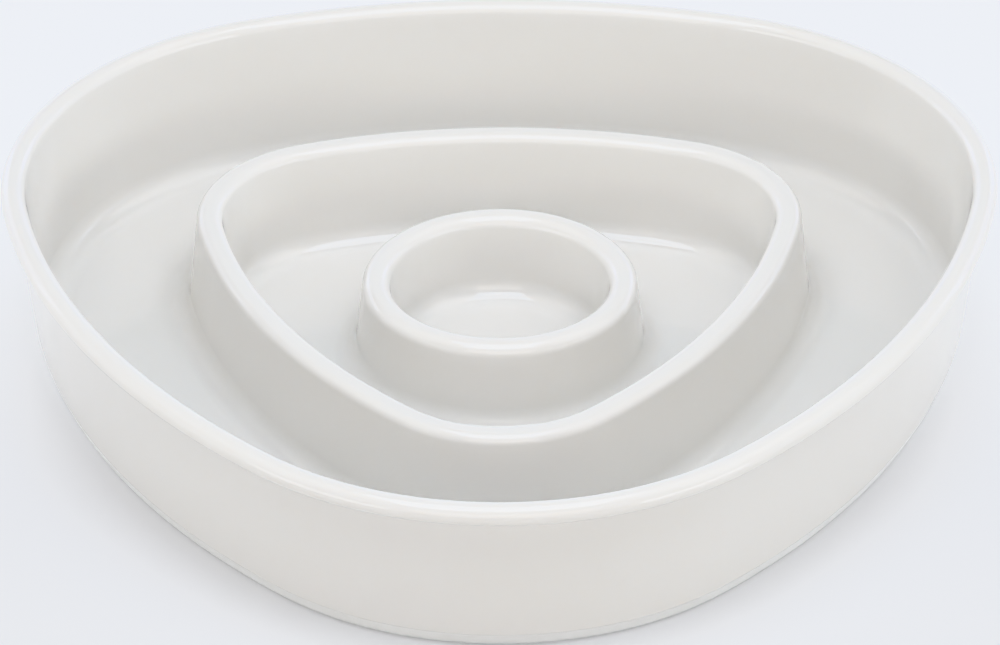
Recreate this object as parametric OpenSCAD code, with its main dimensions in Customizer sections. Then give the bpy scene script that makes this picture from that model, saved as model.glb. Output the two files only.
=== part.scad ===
// Slow feeder bowl: a three-cornered moulded bowl with two raised ridges, and its anti-slip ring.
// Millimetres, +Z up. The origin is on the table, on the axis of the round ridge in the middle.
// One rounded corner points to -Y and one long side faces +Y.

/* [Outline] */
// Width of the rim across two of its rounded corners
rim_w = 230; // [200:1:260]
// Radius of the rim's rounded corners, at its outermost edge
corner_r = 78.4; // [72:0.5:90]
// Angle that each of the three long sides bends through, in degrees
side_arc = 36.8; // [30:0.2:48]

/* [Heights] */
// Height of the rim's top above the table
bowl_h = 38.9; // [34:0.1:60]
// Gap between the floor's underside and the table
floor_gap = 0.4; // [0.2:0.1:0.8]
// Thickness of the floor
floor_t = 2.1; // [1.8:0.1:3.4]

/* [Rim and wall] */
// Width of the rolled rim
lip_w = 5.6; // [4.6:0.1:8]
// Height of the rolled rim on its outer side
lip_h = 3.9; // [3.6:0.1:7]
// Rounding of the rim's lower outer edge
lip_edge_r = 1; // [0.4:0.1:1.4]
// Thickness of the wall
wall_t = 2.8; // [2.4:0.1:3.6]
// Lean of the wall, in degrees from upright
wall_lean = 5.7; // [2:0.1:10]
// Rounding where the wall meets the floor
wall_fillet = 6; // [5:0.5:8]
// Rounding of the wall's lower outer edge
wall_edge_r = 0.8; // [0.3:0.1:1.2]

/* [Three-sided ridge] */
// Gap between the rim and the three-sided ridge
outer_gap = 39; // [30:0.2:42]
// Height of the three-sided ridge above the floor
ridge_h = 25.2; // [14:0.1:28]
// Width of the three-sided ridge at its crest
ridge_w = 6.1; // [5.4:0.1:9]
// Rounding of the crest's two edges
ridge_edge_r = 2.3; // [1:0.1:2.6]

/* [Round ridge] */
// Outer diameter of the round ridge at its crest
round_d = 63.4; // [50:0.2:72]
// Height of the round ridge above the floor
round_h = 20.1; // [10:0.1:26]
// Width of the round ridge at its crest
round_w = 6.5; // [5.4:0.1:9]
// Rounding of the crest's two edges
round_edge_r = 3.1; // [1:0.1:3.2]

/* [Both ridges] */
// Lean of the ridges' sides, in degrees from upright
ridge_lean = 6.5; // [2:0.1:7]
// Thickness of the ridges' hollow walls
fold_t = 2; // [1.6:0.1:2.2]
// Rounding where the ridges meet the floor
ridge_fillet = 5; // [2:0.5:6]

/* [Anti-slip ring] */
// Height that the ring stands out below the bowl
ring_h = 3.1; // [2:0.1:3.6]
// Width of the ring
ring_w = 2.8; // [2.4:0.1:3.2]
// How far the ring's face is set back from the wall's lower edge
ring_setback = 0.9; // [0:0.1:1.5]
// Rounding of the ring's outer lower edge
ring_edge_r = 1.4; // [0.5:0.1:1.6]
// Rounding of the ring's other edges
ring_small_r = 0.4; // [0.2:0.1:0.5]
// Distance from the ring's outer face to the tongue that holds it in its groove
tongue_in = 0.5; // [0.4:0.1:0.7]
// Width of the tongue
tongue_w = 1; // [0.8:0.1:1.2]
// Height of the tongue
tongue_h = 1; // [0.8:0.1:1.2]
// Gap between the tongue and its groove, and between the ring and the step inside it
groove_gap = 0.1; // [0.1:0.05:0.2]

/* [Hidden] */
$fn = 96;

// The outline is three corner arcs and three side arcs that meet without a kink.
side_half = side_arc / 2;
corner_half = 60 - side_half;
corner_across = rim_w / 2 - corner_r;
side_r = corner_r + corner_across / sin(side_half);
// Distance from the middle to a corner arc's centre
corner_out = corner_across / cos(30);
// Distance from the middle to a side arc's centre, on the far side of the bowl
side_back = corner_across / tan(side_half) - corner_out * sin(30);

// Sections are drawn with x = 0 at the rim's outermost edge, inwards to -x, and y = height. They
// are then moved out along x to the radius of the arc that carries them.
base_h = ring_h;
floor_h = floor_gap + floor_t;
// The wall is drawn down to here, before the step that holds the ring is cut
wall_low = min(base_h, floor_h);
lip_r = lip_w / 2;
lip_mid_h = bowl_h - lip_r;
lip_low_h = bowl_h - lip_h;
// How far an arc cuts into the straight side that it runs into, so that the two cross cleanly
bite = 0.005;
wall_in_top = -lip_r - (lip_r - bite) / cos(wall_lean);
wall_out_top = wall_t - lip_w;
// How deep a fillet or a ridge is rooted in what carries it, and how far a cut overruns
root = 1;
fine_step = 0.01;

// The wall's inner and outer faces at a height
function wall_in(h) = wall_in_top - (lip_mid_h - h) * tan(wall_lean);
function wall_out(h) = wall_out_top - (lip_low_h - h) * tan(wall_lean);

// Half the width of a ridge at its foot: its side runs into the rounded edge of the crest
function foot_half(w, h, r) =
    w / 2 - r + (r - bite) / cos(ridge_lean) + (h - r) * tan(ridge_lean);

ridge_mid = -lip_w - outer_gap - ridge_w / 2;
round_mid = round_d / 2 - round_w / 2;
round_outer = round_mid + foot_half(round_w, round_h, round_edge_r) + ridge_fillet;

ring_out = wall_out(base_h) - ring_setback;
step_x = ring_out - ring_w - groove_gap;

// The sliver between two faces and the arc that blends them, with a root behind the faces. They meet
// at the origin: one runs along -x and the other rises to the right, leaning from upright.
module corner_web(r, lean) {
    run = (r - bite) * tan((90 - lean) / 2);
    top = [run * sin(lean), run * cos(lean)];
    difference() {
        polygon([[-run, 0], [-run, -root], [root, -root], [top[0] + root, top[1]], top]);
        translate([-run, r - bite]) circle(r);
    }
}

// A ridge standing on y = 0, with rounded crest edges and leaning sides
module ridge_outside(w, h, r) {
    foot = foot_half(w, h, r);
    edge_x = w / 2 - r;
    side = (r - bite) * [cos(ridge_lean), sin(ridge_lean)];
    for (s = [-1, 1]) translate([s * edge_x, h - r]) circle(r);
    polygon([
        [-foot, 0], [-foot, -root], [foot, -root], [foot, 0],
        [edge_x + side[0], h - r + side[1]], [edge_x, h - bite],
        [-edge_x, h - bite], [-edge_x - side[0], h - r + side[1]]
    ]);
    translate([-foot, 0]) corner_web(ridge_fillet, ridge_lean);
    translate([foot, 0]) mirror([1, 0]) corner_web(ridge_fillet, ridge_lean);
}

// The hollow under a ridge, open below the floor
module ridge_hollow(w, h, r) {
    top = h - fold_t;
    low = -floor_t - root;
    half_low = foot_half(w, h, r) - low * tan(ridge_lean) - fold_t / cos(ridge_lean);
    half_top = half_low - (top - low) * tan(ridge_lean);
    polygon([[-half_low, low], [half_low, low], [half_top, top], [-half_top, top]]);
}

// The rolled rim
module lip_section() {
    translate([-lip_r, lip_mid_h]) circle(lip_r);
    difference() {
        translate([-lip_w, lip_low_h]) square([lip_w, lip_mid_h - lip_low_h]);
        translate([0, lip_low_h]) corner_web(lip_edge_r, 0);
    }
}

// The wall from the rim down past the face that sits on the ring
module wall_section() {
    side = (lip_r - bite) * [-cos(wall_lean), sin(wall_lean)];
    difference() {
        polygon([
            [wall_out(wall_low), wall_low], [wall_out_top, lip_low_h], [-lip_r, lip_mid_h],
            [-lip_r, lip_mid_h] + side, [wall_in(wall_low), wall_low]
        ]);
        translate([wall_out(base_h), base_h]) corner_web(wall_edge_r, wall_lean);
    }
    translate([wall_in(floor_h), floor_h]) corner_web(wall_fillet, wall_lean);
}

// The step under the wall that the ring goes round
module step_section() {
    translate([step_x, floor_gap - root])
        square([wall_out(base_h) + root - step_x, base_h + root - floor_gap]);
}

// The groove that the ring's tongue sits in
module groove_section() {
    w = tongue_w + 2 * groove_gap;
    h = tongue_h + groove_gap;
    translate([ring_out - tongue_in - tongue_w - groove_gap, base_h - root]) square([w, h + root]);
}

// The whole section, with the rim's outermost edge at rim_x and the floor starting at floor_x
module bowl_section(rim_x, floor_x) {
    difference() {
        union() {
            shift([rim_x, 0]) {
                lip_section();
                wall_section();
                translate([ridge_mid, floor_h]) ridge_outside(ridge_w, ridge_h, ridge_edge_r);
            }
            translate([floor_x, floor_gap])
                square([rim_x + wall_in(floor_h) + root - floor_x, floor_t]);
        }
        shift([rim_x, 0]) {
            translate([ridge_mid, floor_h]) ridge_hollow(ridge_w, ridge_h, ridge_edge_r);
            step_section();
            groove_section();
        }
    }
}

// The ring's section: a foot with rounded edges, and the tongue above it
module ring_section() {
    difference() {
        translate([ring_out - ring_w, 0]) square([ring_w, ring_h]);
        translate([ring_out, 0]) corner_web(ring_edge_r, 0);
        translate([ring_out - ring_w, 0]) mirror([1, 0]) corner_web(ring_small_r, 0);
        translate([ring_out, ring_h]) mirror([0, 1]) corner_web(ring_small_r, 0);
    }
    translate([ring_out - tongue_in - tongue_w, ring_h - root]) square([tongue_w, tongue_h + root]);
}

// Moves by v in a coarse step and a fine one, so that arcs which share a seam meet to a millionth
module shift(v) {
    coarse = [for (c = v) round(c / fine_step) * fine_step];
    translate(coarse) translate(v - coarse) children();
}

// Carries the first section along each side arc and the second along each corner arc
module around() {
    for (facing = [90, 210, 330])
        shift(-side_back * [cos(facing), sin(facing)])
            rotate_extrude(angle = side_arc, start = facing - side_half) children(0);
    for (facing = [30, 150, 270])
        shift(corner_out * [cos(facing), sin(facing)])
            rotate_extrude(angle = 2 * corner_half, start = facing - corner_half) children(1);
}

// The moulding: rim, wall, floor, three-sided ridge and round ridge in one piece
module bowl() color("whitesmoke") {
    difference() {
        around() {
            bowl_section(side_r, side_back);
            bowl_section(corner_r, 0);
        }
        translate([0, 0, floor_gap - root]) cylinder(r = round_outer, h = floor_t + 2 * root);
    }
    rotate_extrude() difference() {
        union() {
            translate([0, floor_gap]) square([round_outer + root, floor_t]);
            translate([round_mid, floor_h]) ridge_outside(round_w, round_h, round_edge_r);
        }
        translate([round_mid, floor_h]) ridge_hollow(round_w, round_h, round_edge_r);
    }
}

// The soft ring under the wall, which the bowl stands on
module anti_slip_ring() color("gainsboro") around() {
    shift([side_r, 0]) ring_section();
    shift([corner_r, 0]) ring_section();
}

bowl();
anti_slip_ring();
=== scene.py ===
"""Slow feeder bowl: a three-cornered moulded bowl with two raised ridges on an anti-slip ring.

Every visible surface is a section carried round the bowl's outline. Lengths are in metres, +Z is
up and the origin is on the table, on the axis of the round ridge in the middle.
"""

import math

import bpy
import numpy as np
from bpy.props import FloatProperty, FloatVectorProperty, IntProperty, PointerProperty
from mathutils import Matrix, Vector


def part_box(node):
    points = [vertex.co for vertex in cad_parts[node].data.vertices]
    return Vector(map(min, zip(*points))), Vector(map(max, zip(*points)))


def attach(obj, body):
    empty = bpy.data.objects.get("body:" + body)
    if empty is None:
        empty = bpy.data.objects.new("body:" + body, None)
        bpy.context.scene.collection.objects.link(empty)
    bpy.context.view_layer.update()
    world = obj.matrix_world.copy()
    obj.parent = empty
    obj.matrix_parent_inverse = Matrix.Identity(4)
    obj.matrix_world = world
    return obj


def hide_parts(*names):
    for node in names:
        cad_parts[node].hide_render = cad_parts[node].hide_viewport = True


bl_info = {
    "name": "Slow feeder bowl",
    "version": (1, 0, 0),
    "blender": (4, 5, 0),
    "location": "View3D > Sidebar > Feeder bowl",
    "description": "Builds a three-cornered slow feeder bowl, its anti-slip ring and a stage",
    "category": "Add Mesh",
}

MM = 0.001

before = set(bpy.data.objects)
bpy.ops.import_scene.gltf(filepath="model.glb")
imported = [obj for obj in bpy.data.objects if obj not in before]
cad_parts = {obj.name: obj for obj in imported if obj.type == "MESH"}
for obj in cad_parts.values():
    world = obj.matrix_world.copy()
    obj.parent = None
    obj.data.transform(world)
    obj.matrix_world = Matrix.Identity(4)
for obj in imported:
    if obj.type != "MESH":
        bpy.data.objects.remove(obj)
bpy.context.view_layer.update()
bowl_low, bowl_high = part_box("bowl")


def length(name, description, millimetres, low=0.1):
    """A size that a user can change, given in millimetres and kept in metres."""
    return FloatProperty(
        name=name, description=description, default=millimetres * MM, min=low * MM, unit="LENGTH"
    )


def angle(name, description, degrees):
    """An angle that a user can change, given in degrees and kept in radians."""
    return FloatProperty(
        name=name, description=description, default=math.radians(degrees), subtype="ANGLE"
    )


def from_frame(metres):
    """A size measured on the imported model, rounded to a tenth of a millimetre, in millimetres."""
    return round(metres / MM, 1)


class FeederOutline(bpy.types.PropertyGroup):
    """The outline that the rim, the wall and the three-sided ridge share."""

    rim_width: length(
        "Rim width", "Across two rounded corners", from_frame(bowl_high.x - bowl_low.x)
    )
    corner_radius: length("Corner radius", "Of the rim's outermost edge", 78.4)
    side_arc: angle("Side arc", "Angle that each long side bends through", 36.8)
    steps_around: IntProperty(
        name="Steps around", description="Points along the outline", default=276, min=48
    )


class FeederWall(bpy.types.PropertyGroup):
    """The rolled rim, the wall and the floor."""

    height: length("Height", "Of the rim's top above the table", from_frame(bowl_high.z))
    foot_height: length("Foot height", "Of the wall's lower outer edge above the table", 3.1)
    underside: length("Underside", "Of the floor, above the table", 0.4)
    floor_thickness: length("Floor thickness", "Of the floor", 2.1)
    lip_width: length("Lip width", "Across the rolled rim", 5.6)
    lip_height: length("Lip height", "Of the rim's outer side", 3.9)
    lip_edge: length("Lip edge", "Rounding of the rim's lower edge", 1.0)
    lip_corner: length("Lip corner", "Rounding where the rim meets the wall", 0.4)
    thickness: length("Wall thickness", "Of the wall", 2.8)
    lean: angle("Wall lean", "From upright", 5.7)
    fillet: length("Wall fillet", "Rounding where the wall meets the floor", 6.0)
    foot_edge: length("Foot edge", "Rounding of the wall's lower outer edge", 0.8)


class FeederRidges(bpy.types.PropertyGroup):
    """The three-sided ridge and the round ridge inside it."""

    outer_gap: length("Outer gap", "From the rim to the three-sided ridge", 39.0)
    outer_height: length("Outer height", "Of the three-sided ridge", 25.2)
    outer_width: length("Outer width", "Of its crest", 6.1)
    outer_edge: length("Outer edge", "Rounding of its crest's edges", 2.3)
    round_diameter: length("Round diameter", "Of the round ridge, over its crest", 63.4)
    round_height: length("Round height", "Of the round ridge", 20.1)
    round_width: length("Round width", "Of its crest", 6.5)
    round_edge: length("Round edge", "Rounding of its crest's edges", 3.1)
    lean: angle("Ridge lean", "Of the ridges' sides from upright", 6.5)
    fillet: length("Ridge fillet", "Rounding where a ridge meets the floor", 5.0)
    fold: length("Fold thickness", "Of the ridges' hollow walls", 2.0)
    hollow_edge: length("Hollow edge", "Rounding inside and at the mouth of a hollow", 0.5)


class FeederRing(bpy.types.PropertyGroup):
    """The soft ring that the bowl stands on."""

    width: length("Ring width", "Of the ring", 2.8)
    setback: length("Setback", "Of its face from the wall's foot", 0.9)
    outer_edge: length("Outer edge", "Rounding of its outer lower edge", 1.4)
    small_edge: length("Small edge", "Rounding of its other edges", 0.4)
    tongue_in: length("Tongue inset", "From the ring's face to its tongue", 0.5)
    tongue_width: length("Tongue width", "Of the tongue", 1.0)
    tongue_height: length("Tongue height", "Of the tongue", 1.0)
    tongue_edge: length("Tongue edge", "Rounding of the tongue's top edges", 0.25)
    groove_gap: length("Groove gap", "Round the tongue and inside the ring", 0.1, low=0.01)


class FeederStage(bpy.types.PropertyGroup):
    """The camera, the floor and the light."""

    distance: length("Camera distance", "From the middle of the bowl's underside", 1085.9)
    elevation: angle("Camera elevation", "Above the table", 32.37)
    turn: angle("Camera turn", "Round the bowl, to the right", -0.22)
    roll: angle("Camera roll", "Of the picture", -0.23)
    aim_rise: length("Aim rise", "Of the aim above the bowl's underside", 9.6)
    lens: FloatProperty(
        name="Lens", description="Focal length of the camera", default=168.8, unit="CAMERA"
    )
    floor_size: length("Floor size", "Of the floor's side", 12000.0)
    sky_strength: FloatProperty(
        name="Sky strength", description="Even light from all round", default=0.14, min=0.0
    )
    # Painted light: the floor glows with light of its own, strong behind the bowl and faint in
    # front, standing in for light on the table
    painted_glow: FloatProperty(
        name="Glow", description="Of the floor behind the bowl", default=0.55, min=0.0
    )
    front_painted_glow: FloatProperty(
        name="Front glow", description="Of the floor in front of the bowl", default=0.15, min=0.0
    )
    painted_glow_start: FloatProperty(
        name="Glow start", description="Where the glow begins", default=-70 * MM, unit="LENGTH"
    )
    painted_glow_full: FloatProperty(
        name="Glow full", description="Where the glow is full", default=70 * MM, unit="LENGTH"
    )


def linear(hexcode):
    """Linear RGBA of an sRGB hex colour: ((c + 0.055) / 1.055) ** 2.4, or c / 12.92 if dark."""
    srgb = [int(hexcode[i : i + 2], 16) / 255 for i in (1, 3, 5)]
    return [c / 12.92 if c <= 0.04045 else ((c + 0.055) / 1.055) ** 2.4 for c in srgb] + [1.0]


def colour(name, description, hexcode):
    """A colour that a user can change, given as an sRGB hex code."""
    return FloatVectorProperty(
        name=name,
        description=description,
        default=linear(hexcode),
        size=4,
        min=0.0,
        max=1.0,
        subtype="COLOR",
    )


class FeederColours(bpy.types.PropertyGroup):
    """The colours of the two mouldings, the floor, the floor's painted glow and the sky."""

    bowl: colour("Bowl", "White moulded melamine", "#DEDDDA")
    bowl_warm: colour("Bowl, warm", "Its faint warm clouding", "#DDDBD6")
    ring: colour("Ring", "White soft rubber", "#E3E4E3")
    ring_dark: colour("Ring, dark", "Its faint grey clouding", "#DDDEDC")
    floor: colour("Floor", "Pale floor", "#CFCFCF")
    # Painted light: the colour of the glow painted into the floor
    painted_glow: colour("Glow", "Of the floor", "#F1F6FF")
    sky: colour("Sky", "Even light from all round", "#FFF6F0")


# Sections: rows of (x, z), with x outwards from the rim's outermost edge, or from the middle

# Most degrees between two points on an arc, and fewest points on one
ARC_STEP = 10.0
FEWEST_POINTS = 4
# A straight run has a point this far from each end, which keeps its shading flat, and others at
# most so far apart
EDGE_MARGIN = 0.35 * MM
LONGEST_STRAIGHT = 9.0 * MM


def arc(centre, radius, start, end):
    """Points centre + radius * (cos a, sin a), as a runs evenly from start to end in degrees."""
    points = max(FEWEST_POINTS, 1 + math.ceil(abs(end - start) / ARC_STEP))
    a = np.radians(np.linspace(start, end, points))
    return np.column_stack([centre[0] + radius * np.cos(a), centre[1] + radius * np.sin(a)])


def straight(start, end):
    """Points strictly between two ends: one a margin from each end, and the rest evenly spaced."""
    start, end = np.asarray(start, float), np.asarray(end, float)
    span = np.linalg.norm(end - start)
    if span < 3 * EDGE_MARGIN:
        return np.empty((0, 2))
    pieces = 1 + math.ceil((span - 2 * EDGE_MARGIN) / LONGEST_STRAIGHT)
    share = np.linspace(EDGE_MARGIN / span, 1 - EDGE_MARGIN / span, pieces)[:, None]
    return start + share * (end - start)


def joined(*runs):
    """One section from several runs of points, with straight lines between the runs."""
    rows = [runs[0]]
    for run in runs[1:]:
        rows += [straight(rows[-1][-1], run[0]), run]
    return np.vstack(rows)


def rounded(corner, before, after, radius):
    """The arc of that radius in a corner. Its centre lies on the bisector of the two sides, at
    radius / sin(half the corner's angle), and it meets them at radius / tan(half the angle)."""
    corner = np.asarray(corner, float)
    u = np.asarray(before, float) - corner
    v = np.asarray(after, float) - corner
    u, v = u / np.linalg.norm(u), v / np.linalg.norm(v)
    half = math.acos(np.clip(u @ v, -1, 1)) / 2
    bisector = (u + v) / np.linalg.norm(u + v)
    centre = corner + bisector * radius / math.sin(half)
    first, last = corner + u * radius / math.tan(half), corner + v * radius / math.tan(half)
    start = math.degrees(math.atan2(*(first - centre)[::-1]))
    end = math.degrees(math.atan2(*(last - centre)[::-1]))
    turn = (end - start + 180) % 360 - 180
    return arc(centre, radius, start, start + turn)


def rounded_path(corners, radii):
    """A section through corners, each rounded by its radius. The two ends stay as they are."""
    runs = [np.array([corners[0]])]
    for i, radius in enumerate(radii, start=1):
        runs.append(rounded(corners[i], corners[i - 1], corners[i + 1], radius))
    return joined(*runs, np.array([corners[-1]]))


def foot_half(width, height, edge, lean):
    """Half a ridge's width at its foot: its side leans and touches the crest's rounded edge."""
    return width / 2 - edge + edge / math.cos(lean) + (height - edge) * math.tan(lean)


def ridge_corners(middle, floor, width, height, edge, lean):
    """The four corners of a ridge's outside, before they are rounded."""
    foot = foot_half(width, height, edge, lean)
    top = foot - height * math.tan(lean)
    return [
        (middle - foot, floor),
        (middle - top, floor + height),
        (middle + top, floor + height),
        (middle + foot, floor),
    ]


def hollow_corners(middle, floor, base, width, height, edge, lean, fold):
    """The four corners of the hollow under a ridge, from its outer side inwards."""
    foot = foot_half(width, height, edge, lean) - fold / math.cos(lean)
    low = foot + (floor - base) * math.tan(lean)
    high = foot - (height - fold) * math.tan(lean)
    top = floor + height - fold
    return [(middle + low, base), (middle + high, top), (middle - high, top), (middle - low, base)]


class Sizes:
    """The driving sizes of the bowl's section, with what follows from them."""

    def __init__(self, scene):
        self.outline, self.wall = scene.feeder_outline, scene.feeder_wall
        self.ridges, self.ring = scene.feeder_ridges, scene.feeder_ring
        wall, ridges = self.wall, self.ridges
        self.floor = wall.underside + wall.floor_thickness
        self.lip_radius = wall.lip_width / 2
        self.lip_middle = wall.height - self.lip_radius
        self.lip_low = wall.height - wall.lip_height
        self.ridge_middle = -wall.lip_width - ridges.outer_gap - ridges.outer_width / 2
        self.round_middle = (ridges.round_diameter - ridges.round_width) / 2
        self.ring_face = self.wall_outside(wall.foot_height) - self.ring.setback
        self.outer_ridge = (
            ridges.outer_width, ridges.outer_height, ridges.outer_edge, ridges.lean
        )
        self.round_ridge = (
            ridges.round_width, ridges.round_height, ridges.round_edge, ridges.lean
        )

    def wall_inside(self, height):
        """Where the wall's inner face is at a height. It touches the rolled rim and leans."""
        top = -self.lip_radius - self.lip_radius / math.cos(self.wall.lean)
        return top - (self.lip_middle - height) * math.tan(self.wall.lean)

    def wall_outside(self, height):
        """Where the wall's outer face is at a height. It leans from the rim's underside."""
        top = self.wall.thickness - self.wall.lip_width
        return top - (self.lip_low - height) * math.tan(self.wall.lean)


def outline_arcs(outline, facing):
    """The centre and radius of the outline's arc at each facing angle. Corner arcs face 30, 150
    and 270 degrees, side arcs 90, 210 and 330, and neighbours meet where their tangents agree."""
    half = outline.side_arc / 2
    across = outline.rim_width / 2 - outline.corner_radius
    corner_out = across / math.cos(math.radians(30))
    side_back = across / math.tan(half) - corner_out * math.sin(math.radians(30))
    side_radius = outline.corner_radius + across / math.sin(half)
    third = 2 * math.pi / 3
    from_side = (facing - math.pi / 2 + third / 2) % third - third / 2
    on_side = np.abs(from_side) <= half
    side_facing = facing - from_side
    corner_facing = side_facing + np.sign(from_side) * third / 2
    centre_facing = np.where(on_side, side_facing, corner_facing)
    reach = np.where(on_side, -side_back, corner_out)
    centre = reach[:, None] * np.column_stack([np.cos(centre_facing), np.sin(centre_facing)])
    return centre, np.where(on_side, side_radius, outline.corner_radius)


def swept(section, is_round, outline):
    """The grid of points that a section sweeps. A point at facing angle f is its arc's centre plus
    (arc radius + x) * (cos f, sin f), or x * (cos f, sin f) where the section is round."""
    facing = np.linspace(0, 2 * math.pi, outline.steps_around, endpoint=False)
    outwards = np.column_stack([np.cos(facing), np.sin(facing)])
    centre, radius = outline_arcs(outline, facing)
    x = section[:, 0][:, None, None]
    three_sided = centre[None] + (radius[None, :, None] + x) * outwards[None]
    round_part = x * outwards[None]
    flat = np.where(is_round[:, None, None], round_part, three_sided)
    height = np.broadcast_to(section[:, 1][:, None, None], flat.shape[:2] + (1,))
    return np.concatenate([flat, height], axis=2)


def grid_quads(rows, columns, wrap_rows):
    """Four corners per cell of a grid whose columns wrap round, and whose rows may too."""
    last = rows if wrap_rows else rows - 1
    i, j = np.meshgrid(np.arange(last), np.arange(columns), indexing="ij")
    down, right = (i + 1) % rows, (j + 1) % columns
    corners = [i * columns + j, down * columns + j, down * columns + right, i * columns + right]
    return np.stack(corners, axis=-1).reshape(-1, 4)


def pole_fans(rows, columns):
    """Triangles from two added pole points to the grid's first and last rows."""
    j = np.arange(columns)
    right = (j + 1) % columns
    first, last = rows * columns, rows * columns + 1
    low = (rows - 1) * columns
    start = np.column_stack([np.full(columns, first), j, right])
    end = np.column_stack([np.full(columns, last), low + right, low + j])
    return np.vstack([start, end])


# Edges that turn by more degrees than this stay sharp
SHARP_ANGLE = 35.0


def mesh_object(name, points, quads, triangles=None):
    """A mesh object from arrays of points, quads and triangles, smooth but for sharp edges."""
    mesh = bpy.data.meshes.new(name)
    triangles = np.empty((0, 3), int) if triangles is None else triangles
    corners = np.concatenate([quads.ravel(), triangles.ravel()])
    totals = np.concatenate([np.full(len(quads), 4), np.full(len(triangles), 3)])
    mesh.vertices.add(len(points))
    mesh.vertices.foreach_set("co", points.astype(np.float32).ravel())
    mesh.loops.add(len(corners))
    mesh.loops.foreach_set("vertex_index", corners.astype(np.int32))
    mesh.polygons.add(len(totals))
    mesh.polygons.foreach_set("loop_start", (np.cumsum(totals) - totals).astype(np.int32))
    mesh.polygons.foreach_set("use_smooth", np.ones(len(totals), bool))
    mesh.update(calc_edges=True)
    mesh.set_sharp_from_angle(angle=math.radians(SHARP_ANGLE))
    mesh.validate()
    piece = bpy.data.objects.new(name, mesh)
    bpy.context.scene.collection.objects.link(piece)
    return piece


# Where the floor's round part ends and its three-sided part starts, in fillets from a ridge's
# foot. Both are clear of the fillets, and don't cross where the long sides come closest.
FLOOR_SEAM = 1.25
# Radius of the smallest ring of points round the axis
WELL_POLE = 6.0 * MM
# Rounding of the groove's edges and of the edges beside the tongue
GROOVE_EDGE = 0.15 * MM


def bowl_section(sizes):
    """The moulding's closed section in five runs, and whether each point is in a round run."""
    wall, ridges, ring = sizes.wall, sizes.ridges, sizes.ring
    foot, under, floor = wall.foot_height, wall.underside, sizes.floor
    fillet, edge = ridges.fillet, ridges.hollow_edge
    round_top = ridge_corners(sizes.round_middle, floor, *sizes.round_ridge)
    outer_top = ridge_corners(sizes.ridge_middle, floor, *sizes.outer_ridge)
    trough = round_top[3][0] + FLOOR_SEAM * fillet
    middle_floor = outer_top[0][0] - FLOOR_SEAM * fillet
    well = rounded_path(
        [(WELL_POLE, floor), *round_top, (trough, floor)],
        [fillet, ridges.round_edge, ridges.round_edge, fillet],
    )
    lip_side = (sizes.wall_inside(sizes.lip_low), sizes.lip_low)
    inside = rounded_path(
        [(middle_floor, floor), *outer_top, (sizes.wall_inside(floor), floor), lip_side],
        [fillet, ridges.outer_edge, ridges.outer_edge, fillet, wall.fillet],
    )
    lean = math.degrees(wall.lean)
    lip = arc((-sizes.lip_radius, sizes.lip_middle), sizes.lip_radius, 180 - lean, 0)
    groove_out = sizes.ring_face - ring.tongue_in + ring.groove_gap
    groove_in = groove_out - ring.tongue_width - 2 * ring.groove_gap
    groove_top = foot + ring.tongue_height + ring.groove_gap
    step = sizes.ring_face - ring.width - ring.groove_gap
    hollow = hollow_corners(sizes.ridge_middle, floor, under, *sizes.outer_ridge, ridges.fold)
    outside = rounded_path(
        [
            (0, sizes.lip_middle), (0, sizes.lip_low),
            (sizes.wall_outside(sizes.lip_low), sizes.lip_low),
            (sizes.wall_outside(foot), foot),
            (groove_out, foot), (groove_out, groove_top),
            (groove_in, groove_top), (groove_in, foot),
            (step, foot), (step, under),
            *hollow, (middle_floor, under),
        ],
        [wall.lip_edge, wall.lip_corner, wall.foot_edge] + 6 * [GROOVE_EDGE] + 4 * [edge],
    )
    round_hollow = hollow_corners(
        sizes.round_middle, floor, under, *sizes.round_ridge, ridges.fold
    )
    below = rounded_path([(trough, under), *round_hollow, (WELL_POLE, under)], 4 * [edge])
    runs = [(well, True), (inside[:-1], False), (lip, False), (outside[1:], False), (below, True)]
    section = np.vstack([run for run, _ in runs])
    is_round = np.concatenate([np.full(len(run), turned) for run, turned in runs])
    return section, is_round


def ring_section(sizes):
    """The ring's closed section, from the tongue's outer side round the foot and back."""
    ring, base = sizes.ring, sizes.wall.foot_height
    face, back = sizes.ring_face, sizes.ring_face - ring.width
    tongue_out = face - ring.tongue_in
    tongue_in, tongue_top = tongue_out - ring.tongue_width, base + ring.tongue_height
    start = (tongue_out, (base + tongue_top) / 2)
    path = rounded_path(
        [
            start, (tongue_out, base), (face, base), (face, 0), (back, 0), (back, base),
            (tongue_in, base), (tongue_in, tongue_top), (tongue_out, tongue_top), start,
        ],
        [
            GROOVE_EDGE, ring.small_edge, ring.outer_edge, ring.small_edge, ring.small_edge,
            GROOVE_EDGE, ring.tongue_edge, ring.tongue_edge,
        ],
    )
    return path[:-1]


# Materials


def add(tree, kind, settings=None, links=None):
    """Adds one node with its settings and links. A setting is an attribute, or else an input's
    default. A link gives an input the output of another node, as (node, "output name")."""
    node = tree.nodes.new(kind)
    for name, value in (settings or {}).items():
        if name in node.inputs:
            node.inputs[name].default_value = value
        else:
            setattr(node, name, value)
    for name, (source, output) in (links or {}).items():
        tree.links.new(source.outputs[output], node.inputs[name])
    return node


def new_material(name):
    """An empty node material, and its tree."""
    material = bpy.data.materials.new(name)
    material.use_nodes = True
    material.node_tree.nodes.clear()
    return material, material.node_tree


# Where a Mix node of colours has its first and second colour, and its result
MIX_FIRST, MIX_SECOND = 6, 7
MIX_RESULT = 2


def per_mm(millimetres):
    """The scale at which a noise pattern in object coordinates has features of that size."""
    return 1 / (millimetres * MM)


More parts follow.
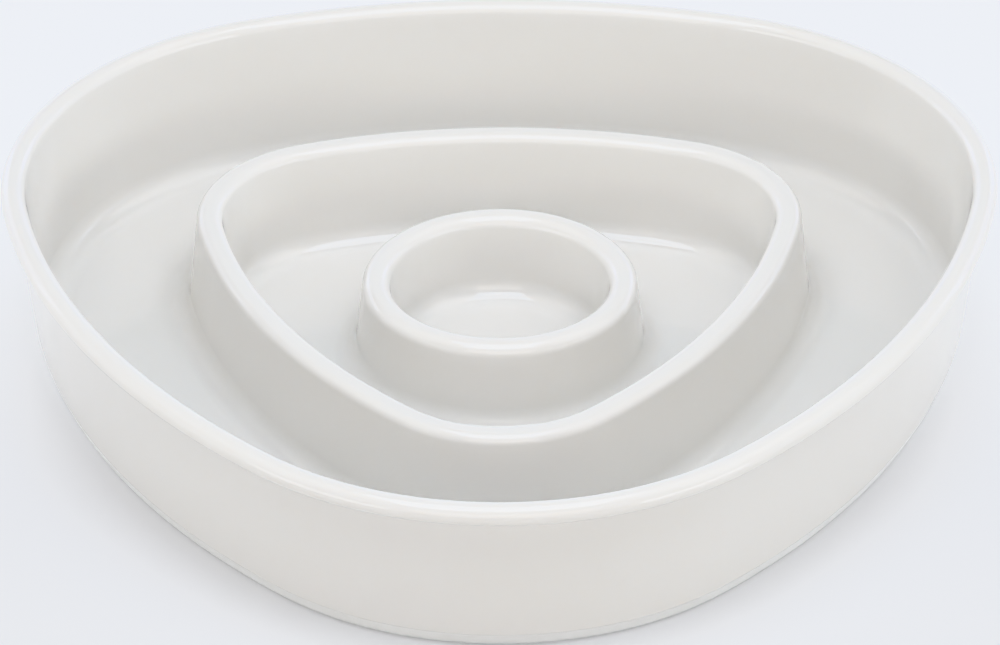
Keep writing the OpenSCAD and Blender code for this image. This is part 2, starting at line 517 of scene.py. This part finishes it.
# Melamine: typical IOR 1.54 to 1.6, polished mould, and light that spreads about a millimetre in
# it, red furthest
MELAMINE_IOR = 1.54
MELAMINE_ROUGHNESS = 0.04
MELAMINE_HAZE = 0.015
MELAMINE_MILKINESS = 0.35
MELAMINE_DEPTH_MM = 1.6
MELAMINE_SPREAD = (1.0, 0.92, 0.84)
# Across one cloud of its tint, and one patch of its haze
CLOUD_MM = 70.0
HAZE_MM = 22.0


def moulded_melamine(colours):
    """Melamine resin, pressed in a polished steel mould: dense, white and hard. It gives the eye a
    clear, slightly soft gloss over a milky body, with a faint haze here and there."""
    material, tree = new_material("moulded_melamine")
    place = add(tree, "ShaderNodeTexCoord")
    at = {"Vector": (place, "Object")}
    clouds = add(tree, "ShaderNodeTexNoise", {"Scale": per_mm(CLOUD_MM), "Detail": 2.0}, at)
    haze = add(tree, "ShaderNodeTexNoise", {"Scale": per_mm(HAZE_MM), "Detail": 3.0}, at)
    tint = add(tree, "ShaderNodeMix", {"data_type": "RGBA"}, {"Factor": (clouds, "Fac")})
    tint.inputs[MIX_FIRST].default_value = colours.bowl
    tint.inputs[MIX_SECOND].default_value = colours.bowl_warm
    gloss = add(
        tree,
        "ShaderNodeMapRange",
        {
            "To Min": MELAMINE_ROUGHNESS - MELAMINE_HAZE,
            "To Max": MELAMINE_ROUGHNESS + MELAMINE_HAZE,
        },
        {"Value": (haze, "Fac")},
    )
    shader = add(
        tree,
        "ShaderNodeBsdfPrincipled",
        {
            "IOR": MELAMINE_IOR,
            "Subsurface Weight": MELAMINE_MILKINESS,
            "Subsurface Radius": MELAMINE_SPREAD,
            "Subsurface Scale": MELAMINE_DEPTH_MM * MM,
        },
        {"Roughness": (gloss, "Result")},
    )
    tree.links.new(tint.outputs[MIX_RESULT], shader.inputs["Base Color"])
    add(tree, "ShaderNodeOutputMaterial", links={"Surface": (shader, "BSDF")})
    return material


# Thermoplastic rubber: typical IOR 1.5, matt, with light that spreads a millimetre in it
RUBBER_IOR = 1.5
RUBBER_ROUGHNESS = 0.55
RUBBER_MILKINESS = 0.2
RUBBER_DEPTH_MM = 1.0
RUBBER_SPREAD = (1.0, 0.95, 0.9)
# The rubber's real grain is about 0.1 mm and is drawn coarser, so that it shows from close by
GRAIN_MM = 0.4
GRAIN_HEIGHT_MM = 0.03


def soft_rubber(colours):
    """White thermoplastic rubber, moulded in a fine-textured tool: matt, with a fine grain."""
    material, tree = new_material("soft_rubber")
    place = add(tree, "ShaderNodeTexCoord")
    at = {"Vector": (place, "Object")}
    clouds = add(tree, "ShaderNodeTexNoise", {"Scale": per_mm(CLOUD_MM / 4), "Detail": 2.0}, at)
    grain = add(tree, "ShaderNodeTexNoise", {"Scale": per_mm(GRAIN_MM), "Detail": 2.0}, at)
    tint = add(tree, "ShaderNodeMix", {"data_type": "RGBA"}, {"Factor": (clouds, "Fac")})
    tint.inputs[MIX_FIRST].default_value = colours.ring
    tint.inputs[MIX_SECOND].default_value = colours.ring_dark
    bump = add(
        tree,
        "ShaderNodeBump",
        {"Strength": 1.0, "Distance": GRAIN_HEIGHT_MM * MM},
        {"Height": (grain, "Fac")},
    )
    shader = add(
        tree,
        "ShaderNodeBsdfPrincipled",
        {
            "IOR": RUBBER_IOR,
            "Roughness": RUBBER_ROUGHNESS,
            "Subsurface Weight": RUBBER_MILKINESS,
            "Subsurface Radius": RUBBER_SPREAD,
            "Subsurface Scale": RUBBER_DEPTH_MM * MM,
        },
        {"Normal": (bump, "Normal")},
    )
    tree.links.new(tint.outputs[MIX_RESULT], shader.inputs["Base Color"])
    add(tree, "ShaderNodeOutputMaterial", links={"Surface": (shader, "BSDF")})
    return material


# Uncoated paper: matt, with hardly any gloss. Its fibres are drawn as a mottle 3 mm across.
PAPER_ROUGHNESS = 0.9
PAPER_GLOSS = 0.1
PAPER_MM = 3.0
PAPER_HEIGHT_MM = 0.02


def paper_floor(colours, stage):
    """Seamless white backdrop paper: matt, with a barely visible mottle. It has a painted glow of
    its own behind the bowl, standing in for light falling on the table, and the glow fades out
    towards the front."""
    material, tree = new_material("backdrop_paper")
    place = add(tree, "ShaderNodeTexCoord")
    mottle = add(
        tree,
        "ShaderNodeTexNoise",
        {"Scale": per_mm(PAPER_MM), "Detail": 2.0},
        {"Vector": (place, "Object")},
    )
    bump = add(
        tree,
        "ShaderNodeBump",
        {"Strength": 1.0, "Distance": PAPER_HEIGHT_MM * MM},
        {"Height": (mottle, "Fac")},
    )
    parts = add(tree, "ShaderNodeSeparateXYZ", links={"Vector": (place, "Object")})
    # Painted light: the floor's emission, faint in front of the bowl and strong behind it
    painted_glow = add(
        tree,
        "ShaderNodeMapRange",
        {
            "interpolation_type": "SMOOTHSTEP",
            "From Min": stage.painted_glow_start,
            "From Max": stage.painted_glow_full,
            "To Min": stage.front_painted_glow,
            "To Max": stage.painted_glow,
        },
        {"Value": (parts, "Y")},
    )
    shader = add(
        tree,
        "ShaderNodeBsdfPrincipled",
        {
            "Base Color": colours.floor,
            "Roughness": PAPER_ROUGHNESS,
            "Specular IOR Level": PAPER_GLOSS,
            "Emission Color": colours.painted_glow,
        },
        {"Normal": (bump, "Normal"), "Emission Strength": (painted_glow, "Result")},
    )
    add(tree, "ShaderNodeOutputMaterial", links={"Surface": (shader, "BSDF")})
    return material


class FEEDER_OT_bowl(bpy.types.Operator):
    """Builds the moulding: rim, wall, floor, three-sided ridge and round ridge"""

    bl_idname = "feeder.bowl"
    bl_label = "Moulded bowl"

    def execute(self, context):
        sizes = Sizes(context.scene)
        section, is_round = bowl_section(sizes)
        grid = swept(section, is_round, sizes.outline)
        rows, columns = grid.shape[:2]
        poles = np.array([[0, 0, section[0, 1]], [0, 0, section[-1, 1]]])
        points = np.vstack([grid.reshape(-1, 3), poles])
        piece = mesh_object(
            "moulded_bowl", points, grid_quads(rows, columns, False), pole_fans(rows, columns)
        )
        piece.data.materials.append(moulded_melamine(context.scene.feeder_colours))
        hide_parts("bowl")
        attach(piece, "root")
        return {"FINISHED"}


class FEEDER_OT_ring(bpy.types.Operator):
    """Builds the soft ring that is pressed into the groove under the wall"""

    bl_idname = "feeder.ring"
    bl_label = "Anti-slip ring"

    def execute(self, context):
        sizes = Sizes(context.scene)
        section = ring_section(sizes)
        grid = swept(section, np.zeros(len(section), bool), sizes.outline)
        rows, columns = grid.shape[:2]
        quads = grid_quads(rows, columns, True)[:, ::-1]
        piece = mesh_object("soft_ring", grid.reshape(-1, 3), quads)
        piece.data.materials.append(soft_rubber(context.scene.feeder_colours))
        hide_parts("anti_slip_ring")
        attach(piece, "root")
        return {"FINISHED"}


# Softboxes: name, degrees round to the right from the front, degrees above the floor, then metres
# to the middle, width and height, radiance, and colour
SOFTBOXES = (
    ("top_softbox", 0, 68, 0.535, 0.36, 0.19, 5.4, "#E8F1FF"),
    ("top_back_softbox", 0, 88, 0.535, 0.36, 0.115, 5.4, "#E8F1FF"),
    ("front_softbox", 0, 30, 1.8, 1.6, 0.7, 2.4, "#FFF4EA"),
    ("left_softbox", -54, 13, 1.4, 1.1, 0.25, 4.65, "#FCFDFF"),
    ("right_softbox", 57, 12, 1.4, 0.9, 0.28, 5.75, "#FAFDFF"),
    ("left_wall_softbox", -90, 52, 1.6, 1.2, 1.2, 1.25, "#FDF8F0"),
    ("right_wall_softbox", 90, 52, 1.6, 1.2, 1.2, 1.65, "#FDFBF8"),
    ("left_low_softbox", -100, 12, 1.6, 1.3, 0.7, 1.2, "#F4FCFF"),
    ("right_low_softbox", 100, 12, 1.6, 1.3, 0.7, 1.35, "#E7F2FF"),
    ("back_softbox", 180, 35, 1.8, 1.8, 0.9, 0.4, "#E8FAFF"),
    ("back_low_softbox", 180, 11, 1.8, 3.0, 0.7, 1.7, "#E0E8FF"),
    ("left_back_softbox", -135, 12, 1.6, 1.0, 0.7, 1.9, "#E3EAFF"),
    ("right_back_softbox", 135, 12, 1.6, 1.0, 0.7, 1.8, "#E1E8FF"),
)


def polar(turn, elevation, distance):
    """A point at a distance from the middle. Turn 0 is in front, at -Y, and 90 is to the right."""
    turn, elevation = math.radians(turn), math.radians(elevation)
    flat = math.cos(elevation)
    return distance * Vector(
        (math.sin(turn) * flat, -math.cos(turn) * flat, math.sin(elevation))
    )


def softbox(name, turn, elevation, distance, width, height, radiance, hexcode):
    """An area light that faces the middle of the bowl. Its power is pi * radiance * area."""
    light = bpy.data.lights.new(name, "AREA")
    light.shape, light.size, light.size_y = "RECTANGLE", width, height
    light.energy = math.pi * radiance * width * height
    light.color = linear(hexcode)[:3]
    lamp = bpy.data.objects.new(name, light)
    lamp.location = polar(turn, elevation, distance)
    lamp.rotation_euler = (-lamp.location).to_track_quat("-Z", "Y").to_euler()
    lamp.visible_camera = False
    bpy.context.scene.collection.objects.link(lamp)
    return lamp


# Width of the camera's sensor in millimetres, and the nearest and furthest that it sees in metres
SENSOR_WIDTH = 36.0
CLIP_START, CLIP_END = 0.05, 100.0


def photo_camera(stage):
    """A camera that looks at the bowl from the photograph's place."""
    data = bpy.data.cameras.new("photo_camera")
    data.sensor_width, data.lens = SENSOR_WIDTH, stage.lens
    data.clip_start, data.clip_end = CLIP_START, CLIP_END
    camera = bpy.data.objects.new("photo_camera", data)
    camera.location = polar(
        math.degrees(stage.turn), math.degrees(stage.elevation), stage.distance
    )
    aim = Vector((0, 0, stage.aim_rise))
    look = (aim - camera.location).to_track_quat("-Z", "Y").to_matrix().to_4x4()
    camera.matrix_world = (
        Matrix.Translation(camera.location) @ look @ Matrix.Rotation(stage.roll, 4, "Z")
    )
    bpy.context.scene.collection.objects.link(camera)
    return camera


class FEEDER_OT_stage(bpy.types.Operator):
    """Builds the pale floor, the soft light and the camera"""

    bl_idname = "feeder.stage"
    bl_label = "Stage"

    def execute(self, context):
        scene = context.scene
        stage, colours = scene.feeder_stage, scene.feeder_colours
        half = stage.floor_size / 2
        corners = half * np.array([(-1, -1, 0), (1, -1, 0), (1, 1, 0), (-1, 1, 0)])
        floor = mesh_object("floor", corners, np.array([[0, 1, 2, 3]]))
        floor.data.materials.append(paper_floor(colours, stage))
        world = bpy.data.worlds.new("studio")
        world.use_nodes = True
        sky = world.node_tree.nodes["Background"]
        sky.inputs["Color"].default_value = colours.sky
        sky.inputs["Strength"].default_value = stage.sky_strength
        scene.world = world
        for box in SOFTBOXES:
            softbox(*box)
        scene.camera = photo_camera(stage)
        scene.view_settings.view_transform = "Khronos PBR Neutral"
        return {"FINISHED"}


class FEEDER_PT_panel(bpy.types.Panel):
    """Lists the sizes, the colours and the pieces that can be built"""

    bl_idname = "FEEDER_PT_panel"
    bl_label = "Slow feeder bowl"
    bl_space_type = "VIEW_3D"
    bl_region_type = "UI"
    bl_category = "Feeder bowl"

    def draw(self, context):
        layout = self.layout
        for operator in OPERATORS:
            layout.operator(operator.bl_idname)
        for name, group in GROUPS:
            box = layout.box()
            box.label(text=name.replace("feeder_", "").capitalize())
            for prop in group.__annotations__:
                box.prop(getattr(context.scene, name), prop)


OPERATORS = (FEEDER_OT_bowl, FEEDER_OT_ring, FEEDER_OT_stage)
GROUPS = (
    ("feeder_outline", FeederOutline),
    ("feeder_wall", FeederWall),
    ("feeder_ridges", FeederRidges),
    ("feeder_ring", FeederRing),
    ("feeder_colours", FeederColours),
    ("feeder_stage", FeederStage),
)
CLASSES = (*(group for _, group in GROUPS), *OPERATORS, FEEDER_PT_panel)


def register():
    for cls in CLASSES:
        bpy.utils.register_class(cls)
    for name, group in GROUPS:
        setattr(bpy.types.Scene, name, PointerProperty(type=group))


def unregister():
    for name, _ in reversed(GROUPS):
        delattr(bpy.types.Scene, name)
    for cls in reversed(CLASSES):
        bpy.utils.unregister_class(cls)


def main():
    register()
    bpy.ops.feeder.bowl()
    bpy.ops.feeder.ring()
    bpy.ops.feeder.stage()


if __name__ == "__main__":
    main()
